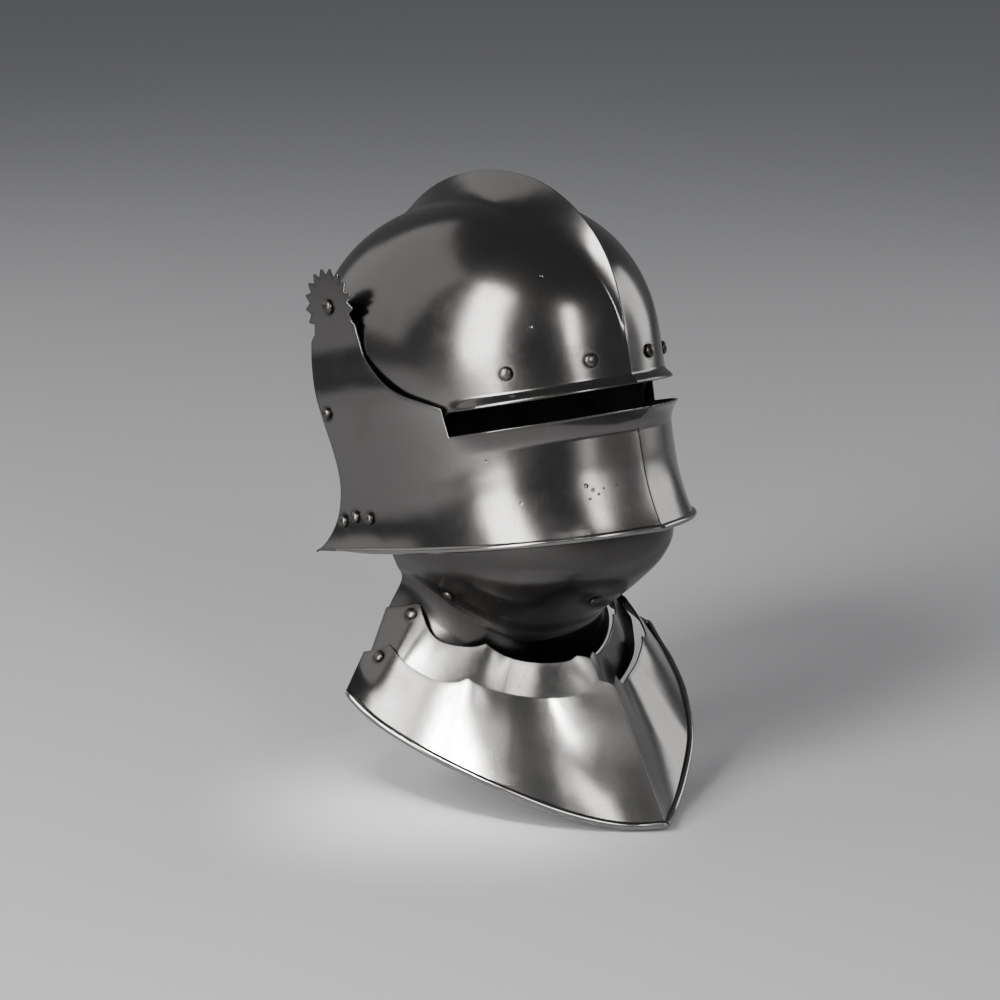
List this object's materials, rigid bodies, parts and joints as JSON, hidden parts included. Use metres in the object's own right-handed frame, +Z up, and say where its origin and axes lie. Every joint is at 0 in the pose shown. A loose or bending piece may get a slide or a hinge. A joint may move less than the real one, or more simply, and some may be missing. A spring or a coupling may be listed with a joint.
{
  "type": "sallet helmet with bevor",
  "caption": "Plate steel sallet with a medial comb and a visor on toothed discs, worn over a chin bevor with hinged gorget lames.",
  "frame": {"origin": "seat of the head on the inside of the skull's crown, on the middle plane", "axes": "+X to the wearer's left, -Y to the front where the face looks, +Z up"},
  "size_m": [0.2744, 0.3129, 0.4209],
  "materials": {
    "plate_steel": "polished with fine brush marks",
    "rivet_steel": "polished, darker round the heads"
  },
  "bodies": {
    "helmet": {"skull": "plate_steel", "brow_rivet_inner_right": "rivet_steel", "brow_rivet_inner_left": "rivet_steel", "brow_rivet_outer_right": "rivet_steel", "brow_rivet_outer_left": "rivet_steel", "visor_pivot_rivet_right": "rivet_steel", "visor_pivot_rivet_left": "rivet_steel", "visor_pivot_collar_right": "rivet_steel", "visor_pivot_collar_left": "rivet_steel", "bevor_chin_plate": "plate_steel", "bevor_chin_rivet_right": "rivet_steel", "bevor_chin_rivet_middle": "rivet_steel", "bevor_chin_rivet_left": "rivet_steel", "gorget_upper_rivet_right": "rivet_steel", "gorget_upper_rivet_left": "rivet_steel"},
    "visor": {"visor": "plate_steel", "visor_side_rivet_right": "rivet_steel", "visor_side_rivet_left": "rivet_steel", "visor_corner_rivet_rear_right": "rivet_steel", "visor_corner_rivet_rear_left": "rivet_steel", "visor_corner_rivet_middle_right": "rivet_steel", "visor_corner_rivet_middle_left": "rivet_steel", "visor_corner_rivet_front_right": "rivet_steel", "visor_corner_rivet_front_left": "rivet_steel"},
    "gorget_upper": {"gorget_upper_lame": "plate_steel", "gorget_lower_rivet_right": "rivet_steel", "gorget_lower_rivet_left": "rivet_steel"},
    "gorget_lower": {"gorget_lower_plate": "plate_steel"}
  },
  "joints": [
    {"name": "visor_lift", "type": "hinge", "parent": "helmet", "child": "visor", "pos_m": [0, 0.01285, -0.06422], "axis": [-1, 0, 0], "range_deg": [0, 60]},
    {"name": "gorget_upper_pivot", "type": "hinge", "parent": "helmet", "child": "gorget_upper", "pos_m": [0, -0.05243, -0.26777], "axis": [-1, 0, 0], "range_deg": [0, 6]},
    {"name": "gorget_lower_pivot", "type": "hinge", "parent": "gorget_upper", "child": "gorget_lower", "pos_m": [0, -0.05018, -0.29313], "axis": [-1, 0, 0], "range_deg": [0, 6]}
  ]
}
